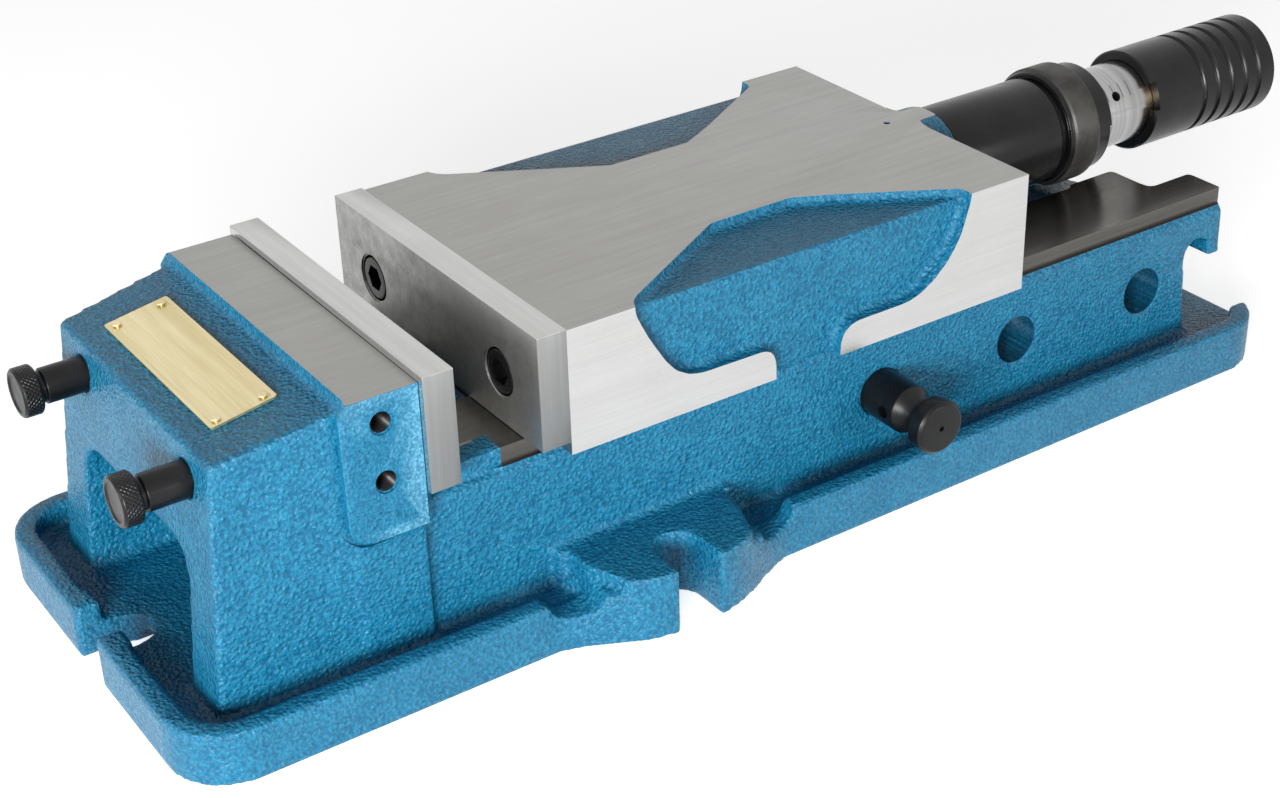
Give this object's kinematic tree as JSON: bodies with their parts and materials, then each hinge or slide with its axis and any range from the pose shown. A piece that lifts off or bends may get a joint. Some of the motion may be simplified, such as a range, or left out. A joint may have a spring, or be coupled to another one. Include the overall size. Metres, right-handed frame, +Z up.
{
  "type": "hydraulic machine vise",
  "caption": "Machine vise with flat jaws on a cast bed: a jaw that slides on ground slideways, driven by a feed spindle with a hydraulic booster, and a pin that sets its stepped positions.",
  "frame": {"origin": "on the underside of the base, at mid width, straight below the gripping face of the fixed jaw", "axes": "+X along the bed from the fixed jaw to the spindle's grip, +Z up from the machine table, +Y across, away from the side on which the position pin's head stands"},
  "size_m": [0.6205, 0.227, 0.1295],
  "materials": {
    "blue_paint": "cast iron, painted blue, machined on its seats",
    "ground_steel": "ground steel",
    "blackened_steel": "black oxide",
    "hardened_steel": "hardened and turned",
    "brass": "satin brass, bare",
    "seal_rubber": "seal rubber"
  },
  "bodies": {
    "bed": {"vise_body": "blue_paint", "nut_block": "blue_paint", "fixed_jaw_plate": "ground_steel", "fixed_plate_screw_near": "blackened_steel", "fixed_plate_screw_far": "blackened_steel", "name_plate": "brass", "name_plate_rivet_1": "brass", "name_plate_rivet_2": "brass", "name_plate_rivet_3": "brass", "name_plate_rivet_4": "brass"},
    "position_pin": {"position_pin": "blackened_steel"},
    "front_pin_near": {"front_pin_near": "blackened_steel"},
    "front_pin_far": {"front_pin_far": "blackened_steel"},
    "slide": {"movable_jaw": "blue_paint", "movable_jaw_plate": "ground_steel", "movable_plate_screw_near": "blackened_steel", "movable_plate_screw_far": "blackened_steel", "hold_down_plate": "hardened_steel", "hold_down_screw_1": "blackened_steel", "hold_down_screw_2": "blackened_steel", "hold_down_screw_3": "blackened_steel", "hold_down_screw_4": "blackened_steel", "thrust_pad": "hardened_steel", "thrust_washer_front": "hardened_steel", "thrust_washer_rear": "hardened_steel", "thrust_ball_cage": "brass", "thrust_ball_1": "hardened_steel", "thrust_ball_2": "hardened_steel", "thrust_ball_3": "hardened_steel", "thrust_ball_4": "hardened_steel", "thrust_ball_5": "hardened_steel", "thrust_ball_6": "hardened_steel"},
    "spindle": {"lead_screw": "hardened_steel", "retaining_ring": "hardened_steel", "push_rod": "hardened_steel", "cylinder_tube": "blackened_steel", "claw_collar": "blackened_steel", "scale_sleeve": "ground_steel", "cylinder_head": "hardened_steel", "main_piston": "hardened_steel", "main_piston_seal": "seal_rubber", "return_spring": "hardened_steel"},
    "primary_piston": {"primary_piston": "hardened_steel"},
    "grip": {"grip": "blackened_steel", "drive_plug": "blackened_steel", "pressure_screw": "hardened_steel", "clutch_disc": "hardened_steel", "clutch_spring": "hardened_steel"}
  },
  "joints": [
    {"name": "jaw_travel", "type": "slide", "parent": "bed", "child": "slide", "axis": [1, 0, 0], "range_m": [-0.0347, 0.05]},
    {"name": "spindle_turn", "type": "hinge", "parent": "slide", "child": "spindle", "pos_m": [0.3, 0, 0.1015], "axis": [1, 0, 0], "range_deg": [-2083, 3001]},
    {"name": "pressure_stroke", "type": "slide", "parent": "spindle", "child": "primary_piston", "axis": [-1, 0, 0], "range_m": [0, 0.014]},
    {"name": "grip_turn", "type": "hinge", "parent": "primary_piston", "child": "grip", "pos_m": [0.45, 0, 0.1015], "axis": [-1, 0, 0], "range_deg": [0, 1259]},
    {"name": "position_pin_travel", "type": "slide", "parent": "bed", "child": "position_pin", "axis": [0, -1, 0], "range_m": [0, 0.118]},
    {"name": "front_pin_near_travel", "type": "slide", "parent": "bed", "child": "front_pin_near", "axis": [-1, 0, 0], "range_m": [0, 0.045]},
    {"name": "front_pin_far_travel", "type": "slide", "parent": "bed", "child": "front_pin_far", "axis": [-1, 0, 0], "range_m": [0, 0.045]}
  ],
  "couplings": [
    {"joint": "spindle_turn", "follows": "jaw_travel", "rad_per_m": 1047.2},
    {"joint": "pressure_stroke", "follows": "grip_turn", "m_per_rad": 0.00063662}
  ]
}
